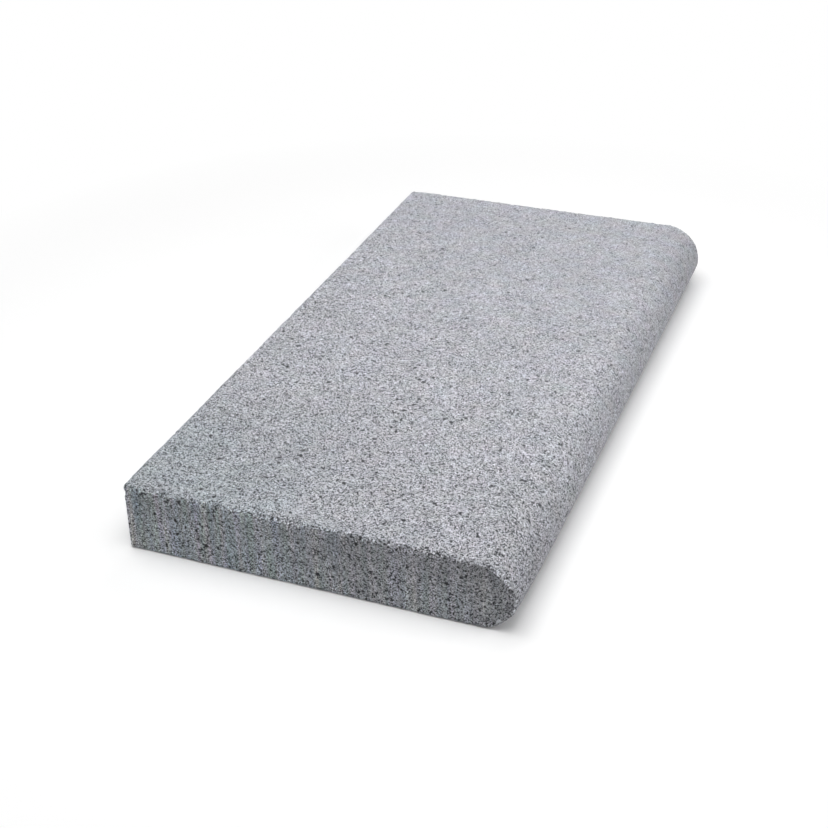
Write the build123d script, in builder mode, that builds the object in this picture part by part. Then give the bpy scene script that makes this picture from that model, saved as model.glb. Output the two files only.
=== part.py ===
"""A straight pool coping stone, sawn from one block of granite.

The stone lies flat on its bed. +Z is up, +X points over the pool, towards the rounded nose, and +Y runs
along the pool's edge. The origin is the middle of the bed face. All sizes are in millimetres.
"""

import os

from build123d import *

# Overall size of the stone
length = 600
width = 310
thickness = 57

# The nose is two quarter rounds that meet on its foremost line, the upper one larger than the lower
nose_upper_radius = 34
nose_lower_radius = thickness - nose_upper_radius

# How far every square edge is eased, on the ends and along the back
arris_radius = 2

# The section's stations across the stone
back_x = -width / 2
front_x = width / 2


with BuildPart() as coping_stone:
    # The section, drawn from the bed round the nose and back along the walking face
    with BuildSketch(Plane.XZ):
        with BuildLine():
            bed = Line((back_x, 0), (front_x - nose_lower_radius, 0))
            lower_nose = JernArc(start=bed @ 1, tangent=bed % 1, radius=nose_lower_radius, arc_size=90)
            upper_nose = JernArc(
                start=lower_nose @ 1, tangent=lower_nose % 1, radius=nose_upper_radius, arc_size=90
            )
            walking_face = Line(upper_nose @ 1, (back_x, thickness))
            back = Line(walking_face @ 1, bed @ 0)
        make_face()
    extrude(amount=length / 2, both=True)

    # The rims of the two butt ends, nose included, and the two long edges of the back
    near_end, far_end = coping_stone.faces().sort_by(Axis.Y)[0], coping_stone.faces().sort_by(Axis.Y)[-1]
    back_edges = coping_stone.edges().filter_by(Axis.Y).group_by(Axis.X)[0]
    fillet(near_end.edges() + far_end.edges() + back_edges, radius=arris_radius)

coping_stone.part.label = "coping_stone"

os.makedirs("parts", exist_ok=True)
export_step(coping_stone.part, "parts/coping_stone.step")
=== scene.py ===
"""A flamed granite coping stone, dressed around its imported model.

Lengths are in metres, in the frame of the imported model: +Z up from the bed, +X towards the rounded nose and
+Y along the stone. The skin of the stone is one closed mesh with the relief of flamed granite and the small
chips of its arrises. Its grain is a procedural material, whose own sizes are in millimetres.
"""

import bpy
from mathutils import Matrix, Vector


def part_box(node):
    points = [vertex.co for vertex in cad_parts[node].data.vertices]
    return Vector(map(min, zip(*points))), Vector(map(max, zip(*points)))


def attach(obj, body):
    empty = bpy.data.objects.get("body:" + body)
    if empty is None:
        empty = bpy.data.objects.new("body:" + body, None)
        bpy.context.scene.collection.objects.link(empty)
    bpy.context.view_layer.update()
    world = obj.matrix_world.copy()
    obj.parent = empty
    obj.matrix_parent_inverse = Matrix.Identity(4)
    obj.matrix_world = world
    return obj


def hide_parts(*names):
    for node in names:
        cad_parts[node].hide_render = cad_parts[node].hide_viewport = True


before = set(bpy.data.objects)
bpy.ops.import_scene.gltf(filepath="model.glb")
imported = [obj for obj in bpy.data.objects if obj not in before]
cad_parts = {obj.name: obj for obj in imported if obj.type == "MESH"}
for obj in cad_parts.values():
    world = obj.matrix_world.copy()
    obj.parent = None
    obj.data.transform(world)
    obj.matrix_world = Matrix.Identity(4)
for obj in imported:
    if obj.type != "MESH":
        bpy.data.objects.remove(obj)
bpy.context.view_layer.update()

import math
import random

import bpy
import numpy as np
from mathutils import Vector, kdtree, noise
from mathutils.geometry import delaunay_2d_cdt

MM = 0.001

# The stone's own sizes, read from the frame, and the two radii of its nose
low_corner, high_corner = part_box("coping_stone")
back_x, front_x = low_corner.x, high_corner.x
half_length = high_corner.y
thickness = high_corner.z
nose_upper = 34 * MM
nose_lower = thickness - nose_upper
parting_z = nose_lower
arris = 2 * MM

# How far below a sharp edge and a sharp corner the eased skin lies, as shares of the arris's radius
eased_edge = math.sqrt(2) - 1
eased_corner = math.sqrt(3) - 1

# How far apart the skin's points lie: on open faces, beside the arrises and on them, and on the bed
face_spacing = 2.4 * MM
beside_spacing = 1.5 * MM
arris_spacing = 0.85 * MM
bed_spacing = 9 * MM
arris_band = 2.6 * MM
beside_band = 6.5 * MM

# The points' lattice: how far its rows lie apart and its points stray, as shares of the spacing
row_share = math.sqrt(0.75)
point_jitter = 0.28

# Limits: how clear of the borders points stay, how near two points are one, how low is bed, what is nothing
rim_clearance = 0.5 * arris_spacing
weld_gap = 0.001 * MM
bed_height = 1e-6
tiny = 1e-9

# Noise: how fast its octaves weaken, how much finer each is than the last, and how many there are
octave_fall = 0.9
octave_step = 2.1
fine_octaves = 3
slow_octaves = 2

# Relief: the depth of the finish on each kind of face, and the sizes and shares of its waves and flakes
flamed_depth = 0.34 * MM
sawn_depth = 0.16 * MM
bed_depth = 0.05 * MM
grain_wave = 4.5 * MM
grain_share = 0.75
flake_size = 1.6 * grain_wave
flake_share = 0.5
flake_middle = 0.55
dressing_wave = 45 * MM
dressing_depth = 0.22 * MM

# How flamed a face is: an upright one, the rise as it turns up, and how much facing the nose's way counts
upright_flamed = 0.35
flamed_rise = 1.4
nose_part = 0.8

# How far down a face turns where it starts to be bed, how fast it does, and where its dressing has gone
bed_start = 0.45
bed_rise = 2
dressing_end = 0.9

# Wear along the arrises: small crumbs, and which crystals are lost
crumb_depth = 1.3 * MM
crumb_size = 2.4 * MM
crumb_reach = 1.9 * MM
crumb_gain = 1.6
crumb_cut = 0.5
crumb_draw = 31.0

# Wear along the arrises: longer dips, and how far off all wear ends
dip_depth = 1.3 * MM
dip_wave = 12 * MM
dip_reach = 3.2 * MM
dip_level = 0.3
dip_swing = 0.9
dip_most = 1.2
wear_limit = 3 * dip_reach

# The share of the wear that each arris has, and how wide and high the upright corners of the back are
near_share = 1.0
far_share = 0.4
back_share = 0.18
bed_share = 0.3
upright_width = 2 * arris
upright_top = thickness - 3 * arris

# These shifts keep one noise from repeating another
flake_shift = 7.3
dressing_shift = 3.1
dip_shift = 9.2

# Fresh colour, with painted shade in its pits: how far it reaches from an arris, on top and below, how deep a
# bite has it all, and its share
worn_reach = 2.6 * MM
worn_reach_below = 5.5 * MM
fresh_depth = 0.4 * MM
fresh_share = 0.5

# Low on the nose the section is slighter towards the near end: where in the section, and which way it goes
slighter_angle = math.radians(42)
slighter_x = front_x - (1 - math.cos(slighter_angle)) * nose_lower
slighter_z = (1 - math.sin(slighter_angle)) * nose_lower
slighter_round = 17 * MM
up_and_back = (-math.sqrt(0.5), 0, math.sqrt(0.5))

# By how much it is slighter over a long stretch and more at the end, and how far along the stone each runs
slighter_by = 1.6 * MM
slighter_reach = 50 * MM
rubbed_by = 1.8 * MM
rubbed_reach = 16 * MM

# Chips struck off the arrises: how far apart their places are, the mean gaps, and up to where they are rare
chip_step = 1 * MM
chip_gap_top = 4.5 * MM
chip_gap_back = 45 * MM
chip_gap_bed = 70 * MM
low_rim = 0.4 * thickness

# The chips' sizes, mostly small, how deep each bites, its lean, and the corner that is knocked off
chip_radius = (1.3 * MM, 3.6 * MM)
chip_skew = 3
chip_bite = (0.25, 0.6)
chip_lean = 0.5
corner_radius = 6 * MM
corner_bite = 1.7 * MM

seed = 11


def new_points(low, high, spacing, rng):
    """A jittered hexagonal lattice of points over a rectangle."""
    rows = max(1, round((high[1] - low[1]) / (spacing * row_share)))
    columns = max(1, round((high[0] - low[0]) / spacing))
    column, row = np.meshgrid(np.arange(columns + 1), np.arange(rows))
    across = (column + 0.5 * (row % 2)) / columns
    along = (row + 0.5) / rows
    points = np.stack([across.ravel(), along.ravel()], 1) * np.subtract(high, low) + low
    return points + rng.uniform(-point_jitter, point_jitter, points.shape) * spacing


def graded_points(low, high, wanted, rng):
    """Points over a rectangle, as close together as wanted(points) asks at each place."""
    chosen = []
    for spacing in (arris_spacing, beside_spacing, face_spacing, bed_spacing):
        points = new_points(low, high, spacing, rng)
        chosen.append(points[np.isclose(wanted(points), spacing)])
    return np.concatenate(chosen)


def section_depth(x, z):
    """How deep a place in the section lies below the walking face, the nose or the bed."""
    radius = np.where(z >= parting_z, nose_upper, nose_lower)
    centre = front_x - radius
    nose = radius - np.hypot(x - centre, z - parting_z)
    flat = np.minimum(z, thickness - z)
    return np.where(x > centre, nose, flat)


def depths(points):
    """How deep each point lies below the ends, the back and the rest of the skin, in rising order."""
    x, y, z = points.T
    three = np.stack([half_length - np.abs(y), x - back_x, section_depth(x, z)], 1)
    return np.sort(three, axis=1)


def seated(points):
    """Points of the sharp-edged stone moved onto its eased skin, and the way out at each."""
    x, y, z = points.T
    radius = np.where(z >= parting_z, nose_upper, nose_lower)
    centre = front_x - radius
    on_nose = x > centre
    shrink = (radius - arris) / np.maximum(np.hypot(x - centre, z - parting_z), tiny)
    nose_z = parting_z + (z - parting_z) * shrink
    core_x = np.where(on_nose, centre + (x - centre) * shrink, np.maximum(x, back_x + arris))
    core_y = np.clip(y, arris - half_length, half_length - arris)
    core_z = np.where(on_nose, nose_z, np.clip(z, arris, thickness - arris))
    core = np.stack([core_x, core_y, core_z], 1)
    outward = points - core
    outward /= np.linalg.norm(outward, axis=1, keepdims=True)
    return core + outward * arris, outward


# The section's outline, unrolled from the middle of the bed, round the nose, over the top and down the back
bed_front = front_x - nose_lower
top_length = front_x - nose_upper - back_x
quarter = math.pi / 2
stretches = [bed_front, nose_lower * quarter, nose_upper * quarter, top_length, thickness, -back_x]
unrolled = np.cumsum([0, *stretches])


def rolled(distance):
    """The place in the section, x and z, that lies so far along its outline."""
    bed_run = np.minimum(distance, bed_front)
    low = np.clip((distance - unrolled[1]) / nose_lower, 0, quarter)
    high = np.clip((distance - unrolled[2]) / nose_upper, 0, quarter)
    top_run = np.clip(distance - unrolled[3], 0, top_length)
    drop = np.clip(distance - unrolled[4], 0, thickness)
    return_run = np.maximum(distance - unrolled[5], 0)
    x = bed_run + nose_lower * np.sin(low) - nose_upper * (1 - np.cos(high)) - top_run + return_run
    z = nose_lower * (1 - np.cos(low)) + nose_upper * np.sin(high) - drop
    return x, z


def wanted_on_side(points):
    """The spacing wanted on the unrolled side of the stone."""
    x, z = rolled(points[:, 0])
    edge = depths(np.stack([x, points[:, 1], z], 1))[:, 1]
    open_face = np.where(z < bed_height, bed_spacing, face_spacing)
    near = np.where(edge < beside_band, beside_spacing, open_face)
    return np.where(edge < arris_band, arris_spacing, near)


def end_depth(points):
    """How deep places on a butt end, given as x and z, lie inside its rim."""
    return np.minimum(section_depth(points[:, 0], points[:, 1]), points[:, 0] - back_x)


def wanted_on_end(points):
    """The spacing wanted on a butt end, whose points are x and z."""
    edge = end_depth(points)
    near = np.where(edge < beside_band, beside_spacing, face_spacing)
    return np.where(edge < arris_band, arris_spacing, near)


def triangles(points):
    """The Delaunay triangles over points that fill a convex outline, as places in the list."""
    return np.array(delaunay_2d_cdt([Vector(p) for p in points], [], [], 0, tiny)[2])


def inside(points, low, high, margin):
    """The points that lie inside a rectangle, clear of its sides."""
    clear = np.all((points > np.add(low, margin)) & (points < np.subtract(high, margin)), axis=1)
    return points[clear]


def side_skin(rim, rng):
    """The skin all round the section, from end to end."""
    low, high = (0, -half_length), (unrolled[-1], half_length)
    spread = inside(graded_points(low, high, wanted_on_side, rng), low, high, rim_clearance)
    seam = np.linspace(-half_length, half_length, 1 + round(2 * half_length / bed_spacing))[1:-1]
    edges = [np.stack([np.full(len(seam), at), seam], 1) for at in (0, unrolled[-1])]
    ends = [np.stack([rim, np.full(len(rim), at)], 1) for at in (-half_length, half_length)]
    flat = np.concatenate([spread, *edges, *ends])
    x, z = rolled(flat[:, 0])
    return np.stack([x, flat[:, 1], z], 1), triangles(flat)


def end_skin(rim, at_y, rng):
    """The skin of one butt end."""
    spread = graded_points((back_x, 0), (front_x, thickness), wanted_on_end, rng)
    spread = spread[end_depth(spread) > rim_clearance]
    flat = np.concatenate([spread, np.stack(rolled(rim[:-1]), 1)])
    return np.stack([flat[:, 0], np.full(len(flat), at_y), flat[:, 1]], 1), triangles(flat)


def sharp_stone():
    """The stone's skin before its arrises are eased: the points and triangles of its side and ends."""
    rng = np.random.default_rng(seed)
    rim = np.linspace(0, unrolled[-1], round(unrolled[-1] / arris_spacing))
    skins = [side_skin(rim, rng), end_skin(rim, -half_length, rng), end_skin(rim, half_length, rng)]
    points, faces, count = [], [], 0
    for skin_points, skin_faces in skins:
        points.append(skin_points)
        faces.append(skin_faces + count)
        count += len(skin_points)
    return np.concatenate(points), np.concatenate(faces)


def welded(points, faces):
    """One point where several lie in the same place."""
    keys = np.round(points / weld_gap).astype(np.int64)
    _, first, which = np.unique(keys, axis=0, return_index=True, return_inverse=True)
    faces = which.ravel()[faces]
    a, b, c = faces.T
    whole = (a != b) & (b != c) & (c != a)
    return points[first], faces[whole]


def outward_faces(points, faces, outward):
    """Each triangle wound so that it faces outward."""
    a, b, c = (points[faces[:, k]] for k in range(3))
    facing = np.einsum("ij,ij->i", np.cross(b - a, c - a), outward[faces].mean(1))
    turned = faces.copy()
    turned[facing < 0] = faces[facing < 0][:, ::-1]
    return turned


def waves(points, size, octaves, shift=0.0):
    """Fractal noise of a given wavelength at each point, from about -1 to 1."""
    moved = points / size + shift
    return np.array([noise.fractal(Vector(p), octave_fall, octave_step, octaves) for p in moved])


def flakes(points, size, shift):
    """Shallow cells with raised rims, as where flakes of stone have spalled off, from 0 to about 1."""
    moved = points / size + shift
    return np.array([noise.voronoi(Vector(p))[0][0] for p in moved])


def fading(distance, reach):
    """A smooth fall from 1 at no distance to almost 0 at twice the reach."""
    return np.exp(-((distance / reach) ** 2))


def relief_depth(outward):
    """How deep the finish of each place is: flamed on the top and nose, mostly sawn elsewhere."""
    facing = np.maximum(outward[:, 2], nose_part * outward[:, 0])
    flamed = np.clip(upright_flamed + flamed_rise * facing, 0, 1)
    depth = sawn_depth + (flamed_depth - sawn_depth) * flamed
    bed = np.clip(bed_rise * (-outward[:, 2] - bed_start), 0, 1)
    return depth + (bed_depth - depth) * bed


def relief(points, outward):
    """How far the finish lifts or lowers each point of the skin."""
    level = outward[:, 2]
    spalled = flakes(points, flake_size, flake_shift) - flake_middle
    grain = grain_share * waves(points, grain_wave, fine_octaves) + flake_share * spalled
    dressing = waves(points, dressing_wave, slow_octaves, dressing_shift) * np.clip(1 + level, 0, 1)
    swell = dressing * dressing_depth * np.clip(level + dressing_end, 0, 1)
    return grain * relief_depth(outward) + swell


def wear_share(points):
    """How much of the full wear each place has: most on the near end's upper arris, least along the bed."""
    x, y, z = points.T
    share = np.where(y > half_length - arris, far_share, back_share)
    share = np.where(y < arris - half_length, near_share, share)
    upright = (x < back_x + upright_width) & (z < upright_top)
    share = np.where(upright, back_share, share)
    return share * (bed_share + (1 - bed_share) * np.clip(z / thickness, 0, 1))


def lost_crystals(points):
    """How much of the crystal at each place has crumbled away, from 0 to 1."""
    nearest = [noise.voronoi(Vector(p))[1][0] for p in points / crumb_size]
    draws = [abs(noise.cell(middle * crumb_draw)) for middle in nearest]
    return np.clip([crumb_gain * draw - crumb_cut for draw in draws], 0, 1)


def raggedness(points, edge):
    """How far the worn arrises lie below their ideal line."""
    close = edge < wear_limit
    swing = waves(points[close], dip_wave, slow_octaves, dip_shift)
    dips = np.clip(dip_level + dip_swing * swing, 0, dip_most)
    worn = np.zeros(len(points))
    worn[close] = lost_crystals(points[close]) * crumb_depth * fading(edge[close], crumb_reach)
    worn[close] += dips * dip_depth * fading(edge[close], dip_reach)
    return worn


def slighter(skin):
    """How far each point moves up and back where the section is slighter."""
    across = np.hypot(skin[:, 0] - slighter_x, skin[:, 2] - slighter_z)
    along = skin[:, 1] + half_length
    lost = slighter_by * fading(along, slighter_reach) + rubbed_by * fading(along, rubbed_reach)
    return np.outer(lost * fading(across, slighter_round), up_and_back)


def arris_lines():
    """Every arris as a list of places along it, with the way out at each and the gap between its chips."""
    lines = []
    x, z = rolled(np.arange(0, unrolled[-1], chip_step))
    for end in (-1, 1):
        places = np.stack([x, np.full(len(x), end * half_length), z], 1)
        lines.append((places, seated(places)[1], np.where(z > low_rim, chip_gap_top, chip_gap_bed)))
    along = np.arange(-half_length, half_length, chip_step)
    for height, gap in ((0, chip_gap_bed), (thickness, chip_gap_back)):
        places = np.stack([np.full(len(along), back_x), along, np.full(len(along), height)], 1)
        lines.append((places, seated(places)[1], np.full(len(along), gap)))
    return lines


def corner_chip():
    """The near upper corner of the back, knocked off: the ball's centre, its radius and the way out."""
    corner = Vector((back_x, -half_length, thickness))
    way = Vector((-1, -1, 1)).normalized()
    skin = corner - way * eased_corner * arris
    return skin + way * (corner_radius - corner_bite), corner_radius, way


def chips():
    """Every chip as a ball that bites the arris: its centre, its radius and the way out."""
    rng = random.Random(seed)
    smallest, largest = chip_radius
    made = [corner_chip()]
    for places, outward, gaps in arris_lines():
        for place, out, gap in zip(places, outward, gaps):
            if rng.random() > chip_step / gap:
                continue
            radius = smallest + (largest - smallest) * rng.random() ** chip_skew
            bite = radius * rng.uniform(*chip_bite)
            skin = Vector(place) - Vector(out) * eased_edge * arris
            lean = Vector([rng.uniform(-chip_lean, chip_lean) for _ in range(3)])
            way = (Vector(out) + lean).normalized()
            made.append((skin + way * (radius - bite), radius, way))
    return made


def chipped(points):
    """The points after every chip is struck off, and how freshly broken each one is, from 0 to 1."""
    tree = kdtree.KDTree(len(points))
    for k, point in enumerate(points):
        tree.insert(Vector(point), k)
    tree.balance()
    broken = np.zeros(len(points))
    result = points.copy()
    for centre, radius, way in chips():
        for _, k, _ in tree.find_range(centre, radius):
            now = Vector(result[k]) - centre
            along = now.dot(way)
            reach = radius * radius - (now.length_squared - along * along)
            if reach <= 0 or now.length > radius:
                continue
            sunk = along + math.sqrt(reach)
            result[k] = result[k] - np.array(way) * sunk
            broken[k] = max(broken[k], min(1, sunk / fresh_depth))
    return result, broken


def stone_mesh():
    """The whole skin of the stone as a mesh, with how worn each point is."""
    points, faces = welded(*sharp_stone())
    edge = depths(points)[:, 1]
    skin, outward = seated(points)
    faces = outward_faces(skin, faces, outward)
    lift = relief(skin, outward) - raggedness(skin, edge) * wear_share(skin)
    shaped, broken = chipped(skin + outward * lift[:, None] + slighter(skin))
    shaped[:, 2] = np.maximum(shaped[:, 2], 0)
    mesh = bpy.data.meshes.new("granite_stone")
    mesh.from_pydata(shaped.tolist(), [], faces.tolist())
    mesh.validate()
    mesh.shade_smooth()
    reach = np.where(skin[:, 2] < thickness - arris, worn_reach_below, worn_reach)
    worn = np.clip(fresh_share * broken + np.sqrt(wear_share(skin)) * fading(edge, reach), 0, 1)
    mesh.attributes.new("worn", "FLOAT", "POINT").data.foreach_set("value", worn.astype(np.float32))
    return mesh


class Nodes:
    """Makes the nodes of one material, or of the sky, and joins them up."""

    def __init__(self, tree):
        self.tree = tree

    def add(self, kind, settings=None, **inputs):
        """A node of a kind, with its settings. Each input is given a value, or joined to another's output.

        An input is named by its name, with _ for a space, or by its number, as i0.
        """
        node = self.tree.nodes.new("ShaderNode" + kind)
        for name, value in (settings or {}).items():
            setattr(node, name, value)
        for name, value in inputs.items():
            numbered = name[1:].isdigit()
            socket = node.inputs[int(name[1:]) if numbered else name.replace("_", " ")]
            if isinstance(value, bpy.types.NodeSocket):
                self.tree.links.new(value, socket)
            else:
                socket.default_value = value
        return node

    def math(self, operation, a, b=0.0, c=0.0, clamp=False):
        """The number that an operation makes of up to three others."""
        return self.add("Math", {"operation": operation, "use_clamp": clamp}, i0=a, i1=b, i2=c).outputs[0]

    def vector(self, operation, **inputs):
        """The vector that an operation makes of its inputs."""
        return self.add("VectorMath", {"operation": operation}, **inputs).outputs[0]

    def ramp(self, value, stops, smooth=True):
        """A grey level for each value, by stops of (place, level)."""
        node = self.add("ValToRGB", i0=value)
        ramp = node.color_ramp
        ramp.interpolation = "LINEAR" if smooth else "CONSTANT"
        while len(ramp.elements) < len(stops):
            ramp.elements.new(0.5)
        for element, (place, level) in zip(ramp.elements, stops):
            element.position = place
            element.color = (level, level, level, 1)
        return node.outputs["Color"]

    def mixed(self, share, first, second):
        """The first colour where the share is 0, and the second where it is 1."""
        return self.add("Mix", {"data_type": "RGBA"}, i0=share, i6=first, i7=second).outputs[2]

    def tinted(self, colour, gain):
        """A colour times another."""
        settings = {"data_type": "RGBA", "blend_type": "MULTIPLY"}
        return self.add("Mix", settings, i0=1.0, i6=colour, i7=gain).outputs[2]


def blank_material(name):
    """A new material with no nodes yet, and the maker of its nodes."""
    material = bpy.data.materials.new(name)
    material.use_nodes = True
    material.node_tree.nodes.clear()
    return material, Nodes(material.node_tree)


# The grain of the granite, in millimetres: its crystals, and the grey that each share of them has
crystal_size = 0.67
crystal_greys = [(0.0, 0.015), (0.2, 0.1), (0.3, 0.38), (0.46, 0.56), (0.7, 0.7), (0.92, 0.85)]
mean_grey = (0.43, 0.43, 0.43, 1)
cluster_size = 2.6
cluster_gains = [(0.0, 0.86), (0.5, 1.0), (1.0, 1.1)]

# The larger flakes of black mica: the size and share of each kind, their colour, and how far they fade
speck_kinds = [(2.5, 0.01), (1.4, 0.042)]
speck_colour = (0.03, 0.031, 0.036, 1)
speck_fade = 0.8

# How finely and how far the borders of the crystals wander, and the middle level of a noise
bend_noise = {"Scale": 0.9, "Detail": 2.0, "Roughness": 0.6}
bend_by = 1.3
noise_middle = (0.5, 0.5, 0.5)

# The stone pales from one corner to the other, as painted light and shade that stand in for the lamps'
# fall-off, with some tone of its own in the noise: along its length, across its width, and by a noise
drift_along = 0.8 / 600
drift_across = 0.25 / 310
drift_middle = 0.45
drift_noise = {"Scale": 0.012, "Detail": 3.0, "Roughness": 0.5}
drift_wander = 0.3

# What follows from how pale a place is: how even its grain is, and its gain on the faces and on the ends,
# which is painted light and shade
even_shares = [(0.2, 0.0), (0.4, 0.1), (0.7, 0.4), (1.0, 0.58)]
painted_light_face_gains = [(0.0, 0.85), (0.15, 0.93), (0.3, 1.03), (0.5, 1.1), (1.0, 1.13)]
painted_light_end_gains = [(0.0, 1.19), (0.08, 1.13), (0.12, 1.02), (0.18, 0.93), (1.0, 0.93)]
end_facing = 0.8

# Its tints, how soon the first gives way to the second, and how much weaker they are in pale crystals
white = (1, 1, 1, 1)
blue_tint = (0.917, 1.01, 1.11, 1)
violet_tint = (0.967, 0.984, 1.092, 1)
violet_rise = 6.0
tint_fade = 0.5

# Blotches of hue, drawn out into streaks on the ends: their sizes, strengths and noises
blotch_size = 17
streak_size = (5.5, 80, 80)
face_hues = [(0.0, 0.07), (0.4, 0.09), (1.0, 0.15)]
end_hues = [(0.0, 0.32), (0.18, 0.08), (1.0, 0.1)]
hue_swing = (1, 0.7, 1)
hue_noise = {"Scale": 1.0, "Detail": 1.0, "Roughness": 0.6}
streak_gains = [(0.3, 0.85), (0.5, 1.0), (0.7, 1.13)]
streak_noise = {"Scale": 1.0, "Detail": 3.0, "Roughness": 0.6}

# Large faint clouds of tone, and the pits of painted shade in the fresh colour of worn arrises
cloud_gains = [(0.3, 0.95), (0.5, 1.0), (0.7, 1.05)]
cloud_noise = {"Scale": 0.028, "Detail": 3.0, "Roughness": 0.5}
fresh_and_pit_shade_gains = [(0.36, 0.2), (0.46, 1.0), (0.6, 1.65)]
pit_noise = {"Scale": 0.5, "Detail": 2.0, "Roughness": 0.6}

# Fine relief: a tooth, twice as deep on the ends, each crystal's fall from its middle, and the painted shade
# in its low parts
tooth_noise = {"Scale": 0.8, "Detail": 4.0, "Roughness": 0.65}
tooth_depth = 0.5 * MM
tooth_strength = 0.8
crystal_fall = -0.5
hollow_shade_gains = [(0.3, 0.75), (0.48, 1.0), (0.7, 1.06)]

# How rough the stone is, how much less the black specks are, and how strongly it shines
stone_roughness = 0.86
speck_gloss = 0.25
shine = 0.35


def bent_place(nodes, mm):
    """Places in millimetres, pushed about a little so that the borders of the crystals wander."""
    wander = nodes.add("TexNoise", Vector=mm, **bend_noise).outputs["Color"]
    centred = nodes.vector("SUBTRACT", i0=wander, i1=noise_middle)
    return nodes.vector("ADD", i0=mm, i1=nodes.vector("SCALE", i0=centred, Scale=bend_by))


def cells(nodes, bent, size):
    """Cells of a given size: three random numbers for each, and how far off its middle is."""
    found = nodes.add("TexVoronoi", Vector=bent, Scale=1 / size, Randomness=1.0).outputs
    return nodes.add("SeparateColor", i0=found["Color"]).outputs, found["Distance"]


def crystals(nodes, bent, even):
    """The grey of each crystal, from black mica to white feldspar, and how far off its middle is."""
    draws, middle = cells(nodes, bent, crystal_size)
    grey = nodes.ramp(draws[0], crystal_greys, smooth=False)
    return nodes.mixed(even, grey, mean_grey), middle


def clusters(nodes, bent):
    """Where several crystals together are a little paler or darker."""
    draws, _ = cells(nodes, bent, cluster_size)
    return nodes.ramp(draws[1], cluster_gains)


def specks(nodes, bent):
    """1 inside the larger flakes of black mica and 0 outside."""
    black = 0.0
    for size, share in speck_kinds:
        draws, _ = cells(nodes, bent, size)
        black = nodes.math("MAXIMUM", black, nodes.math("LESS_THAN", draws[2], share))
    return black


def drift(nodes, mm):
    """From 0 at the bluer corner of the stone, painted darker as if less lit, to 1 where it is palest, with a
    wandering border.
    """
    place = nodes.add("SeparateXYZ", i0=mm).outputs
    along = nodes.math("MULTIPLY_ADD", place[1], drift_along, drift_middle)
    across = nodes.math("MULTIPLY", place[0], drift_across)
    wander = nodes.add("TexNoise", Vector=mm, **drift_noise).outputs["Fac"]
    moved = nodes.math("MULTIPLY_ADD", wander, drift_wander, -0.5 * drift_wander)
    return nodes.math("ADD", nodes.math("ADD", along, across), moved, clamp=True)


def on_ends(nodes):
    """1 on the two butt ends and 0 elsewhere."""
    facing = nodes.add("SeparateXYZ", i0=nodes.add("TexCoord").outputs["Normal"]).outputs[1]
    return nodes.math("GREATER_THAN", nodes.math("ABSOLUTE", facing), end_facing)


def mottling(nodes, mm, end, pale):
    """Faint blotches of hue, drawn out into upright streaks on the sawn ends, and the streaks' own gain."""
    blotches = nodes.vector("SCALE", i0=mm, Scale=1 / blotch_size)
    streaks = nodes.vector("DIVIDE", i0=mm, i1=streak_size)
    where = nodes.add("Mix", {"data_type": "VECTOR"}, i0=end, i4=blotches, i5=streaks).outputs[1]
    hues = nodes.add("TexNoise", Vector=where, **hue_noise).outputs["Color"]
    tones = nodes.add("TexNoise", Vector=where, **streak_noise).outputs["Fac"]
    strength = nodes.mixed(end, nodes.ramp(pale, face_hues), nodes.ramp(pale, end_hues))
    swing = nodes.vector("SCALE", i0=nodes.vector("SUBTRACT", i0=hues, i1=noise_middle), Scale=strength)
    hue = nodes.vector("MULTIPLY_ADD", i0=swing, i1=hue_swing, i2=(1, 1, 1))
    return nodes.tinted(hue, nodes.mixed(end, white, nodes.ramp(tones, streak_gains)))


def tint(nodes, grey, pale):
    """The tint of the stone: bluish in its dark corner, violet grey elsewhere, weaker in pale crystals."""
    violet = nodes.math("MULTIPLY", pale, violet_rise, clamp=True)
    cool = nodes.mixed(violet, blue_tint, violet_tint)
    return nodes.mixed(nodes.math("MULTIPLY", grey, tint_fade), cool, white)


def wear(nodes, mm):
    """A gain that makes worn arrises fresh and pale, with painted shade in their pits, and leaves the rest as
    it is.
    """
    worn = nodes.add("Attribute", {"attribute_name": "worn"}).outputs["Fac"]
    pits = nodes.add("TexNoise", Vector=mm, **pit_noise).outputs["Fac"]
    # Painted shade: the darkest step of the ramp darkens the pits of worn arrises
    return nodes.mixed(worn, white, nodes.ramp(pits, fresh_and_pit_shade_gains))


def stone_colour(nodes, mm, end):
    """The colour of the granite, with painted light and shade from corner to corner, on the near end and in
    the pits of worn arrises, how black each place is, and how far off each crystal's middle is.
    """
    bent = bent_place(nodes, mm)
    pale = drift(nodes, mm)
    even = nodes.ramp(pale, even_shares)
    stone, middle = crystals(nodes, bent, even)
    clouds = nodes.add("TexNoise", Vector=mm, **cloud_noise).outputs["Fac"]
    gains = [
        clusters(nodes, bent),
        nodes.ramp(clouds, cloud_gains),
        # Painted light and shade: the faces darker towards the near, left corner and paler towards the far
        # end, and the near end paler than its light makes it
        nodes.mixed(end, nodes.ramp(pale, painted_light_face_gains), nodes.ramp(pale, painted_light_end_gains)),
        tint(nodes, stone, pale),
        mottling(nodes, mm, end, pale),
        wear(nodes, mm),
    ]
    for gain in gains:
        stone = nodes.tinted(stone, gain)
    kept = nodes.math("SUBTRACT", 1.0, nodes.math("MULTIPLY", even, speck_fade))
    black = nodes.math("MULTIPLY", specks(nodes, bent), kept)
    return nodes.mixed(black, stone, speck_colour), black, middle


def fine_relief_and_hollow_shade(nodes, mm, end, middle):
    """Pits between the crystals and a finer tooth: the painted shade of its low parts, and the surface's
    facing.
    """
    tooth = nodes.add("TexNoise", Vector=mm, **tooth_noise).outputs["Fac"]
    height = nodes.math("ADD", tooth, nodes.math("MULTIPLY", middle, crystal_fall))
    depth = nodes.math("MULTIPLY_ADD", end, tooth_depth, tooth_depth)
    bump = nodes.add("Bump", Strength=tooth_strength, Distance=depth, Height=height)
    return nodes.ramp(tooth, hollow_shade_gains), bump.outputs["Normal"]


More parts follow.
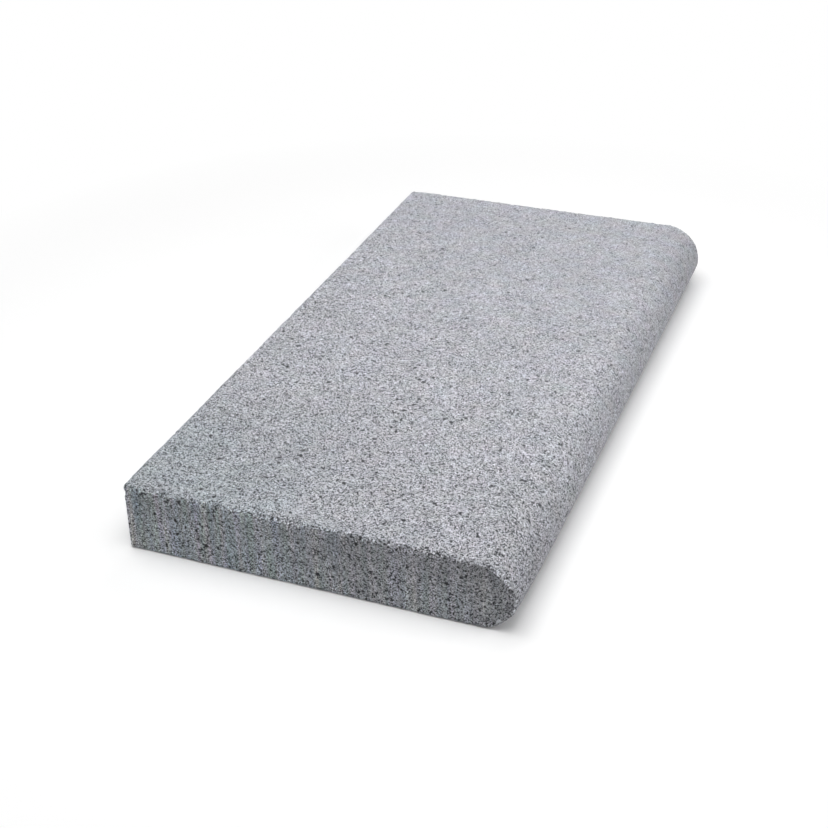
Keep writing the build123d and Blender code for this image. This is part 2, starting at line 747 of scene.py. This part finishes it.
def granite():
    """Light grey granite, all of it rough, with painted light and shade in its colour."""
    material, nodes = blank_material("flamed_granite")
    mm = nodes.vector("SCALE", i0=nodes.add("TexCoord").outputs["Object"], Scale=1 / MM)
    end = on_ends(nodes)
    colour, black, middle = stone_colour(nodes, mm, end)
    painted_hollow_shade, facing = fine_relief_and_hollow_shade(nodes, mm, end, middle)
    rough = nodes.math("SUBTRACT", stone_roughness, nodes.math("MULTIPLY", black, speck_gloss))
    # Painted shade: the colour darkened where the tooth is low
    shaded = nodes.tinted(colour, painted_hollow_shade)
    surface = nodes.add("BsdfPrincipled", Base_Color=shaded, Roughness=rough, Normal=facing)
    surface.inputs["Specular IOR Level"].default_value = shine
    nodes.add("OutputMaterial", Surface=surface.outputs[0])
    return material


def placed(name, data):
    """A new object in the scene, made of a mesh, a lamp or a camera."""
    thing = bpy.data.objects.new(name, data)
    bpy.context.scene.collection.objects.link(thing)
    return thing


def dressed_stone():
    """The stone itself, in place of the plain solid."""
    stone = placed("granite_stone", stone_mesh())
    stone.data.materials.append(granite())
    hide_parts("coping_stone")
    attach(stone, "root")


# The stage: a floor that is white to the camera and keeps the stone's shadow, and the light from all round
floor_half = 6.0
floor_albedo = 0.8
floor_shown_albedo = 1.0
floor_glow = 0.068
fade_start = 0.4
fade_end = 0.66
world_light = 0.02


def seen_directly(nodes):
    """1 for what the camera sees, also in a mirror or through glass, and 0 for all other light."""
    path = nodes.add("LightPath").outputs
    mirrored = nodes.math("MAXIMUM", path["Is Camera Ray"], path["Is Glossy Ray"])
    return nodes.math("MAXIMUM", mirrored, path["Is Transmission Ray"])


def floor_material():
    """White paper that stays white around the stone and darkens only in its shadow."""
    material, nodes = blank_material("pale_floor")
    seen = seen_directly(nodes)
    shade = nodes.math("ADD", floor_albedo, nodes.math("MULTIPLY", seen, floor_shown_albedo - floor_albedo))
    grey = nodes.add("CombineColor", i0=shade, i1=shade, i2=shade).outputs[0]
    paper = nodes.add("BsdfDiffuse", Color=grey)
    glow = nodes.add("Emission", Color=white, Strength=nodes.math("MULTIPLY", seen, floor_glow))
    lit = nodes.add("AddShader", i0=paper.outputs[0], i1=glow.outputs[0])
    blank = nodes.add("Emission", Color=white, Strength=seen)
    place = nodes.add("TexCoord").outputs["Object"]
    away = nodes.add("VectorMath", {"operation": "LENGTH"}, i0=place).outputs["Value"]
    far = nodes.math("DIVIDE", nodes.math("SUBTRACT", away, fade_start), fade_end - fade_start, clamp=True)
    both = nodes.add("MixShader", i0=far, i1=lit.outputs[0], i2=blank.outputs[0])
    nodes.add("OutputMaterial", Surface=both.outputs[0])
    return material


def stage():
    """The floor under the stone."""
    mesh = bpy.data.meshes.new("floor")
    corners = [(x * floor_half, y * floor_half, 0) for x, y in ((-1, -1), (1, -1), (1, 1), (-1, 1))]
    mesh.from_pydata(corners, [], [(0, 1, 2, 3)])
    mesh.materials.append(floor_material())
    floor = placed("floor", mesh)


def sky():
    """A soft even light from all round, seen as white by the camera."""
    world = bpy.data.worlds.new("studio")
    world.use_nodes = True
    world.node_tree.nodes.clear()
    nodes = Nodes(world.node_tree)
    strength = nodes.math("ADD", world_light, nodes.math("MULTIPLY", seen_directly(nodes), 1 - world_light))
    glow = nodes.add("Background", Color=white, Strength=strength)
    nodes.add("OutputWorld", Surface=glow.outputs[0])
    bpy.context.scene.world = world


# The lamps are soft boxes that face the middle of the stone: where each stands, its side and its watts
soft_boxes = {
    "nose_box": (Vector((1.2, 0.15, 0.6)), 0.8, 4.3),
    "far_box": (Vector((0.0, 1.0, 0.9)), 0.8, 3.4),
    "back_box": (Vector((-0.56, 0.0, 1.39)), 1.0, 9.0),
    "near_box": (Vector((0.0, -0.56, 1.39)), 1.0, 6.2),
    "corner_box": (Vector((0.4, -0.4, 1.39)), 1.0, 7.0),
}


def soft_box(name, place, side, power):
    """A lamp that faces the middle of the stone."""
    lamp = bpy.data.lights.new(name, "AREA")
    lamp.shape = "SQUARE"
    lamp.size = side
    lamp.energy = power
    thing = placed(name, lamp)
    thing.location = place
    thing.rotation_euler = place.to_track_quat("Z", "Y").to_euler()


# The camera stands where the photograph was taken from: its turn is in degrees, its lens and sensor in mm
camera_place = Vector((0.39111, -1.07579, 0.6713))
camera_turn = (58.876, 0.961, 21.207)
camera_lens = 64.522
camera_sensor = 36
camera_nearest = 0.05
camera_farthest = 60


def camera():
    """The camera that takes the photograph's view."""
    data = bpy.data.cameras.new("camera")
    data.lens = camera_lens
    data.sensor_width = camera_sensor
    data.clip_start = camera_nearest
    data.clip_end = camera_farthest
    thing = placed("camera", data)
    thing.location = camera_place
    thing.rotation_euler = [math.radians(angle) for angle in camera_turn]
    bpy.context.scene.camera = thing


bpy.context.scene.view_settings.view_transform = "Standard"
camera()
stage()
sky()
for name, (place, side, power) in soft_boxes.items():
    soft_box(name, place, side, power)
dressed_stone()
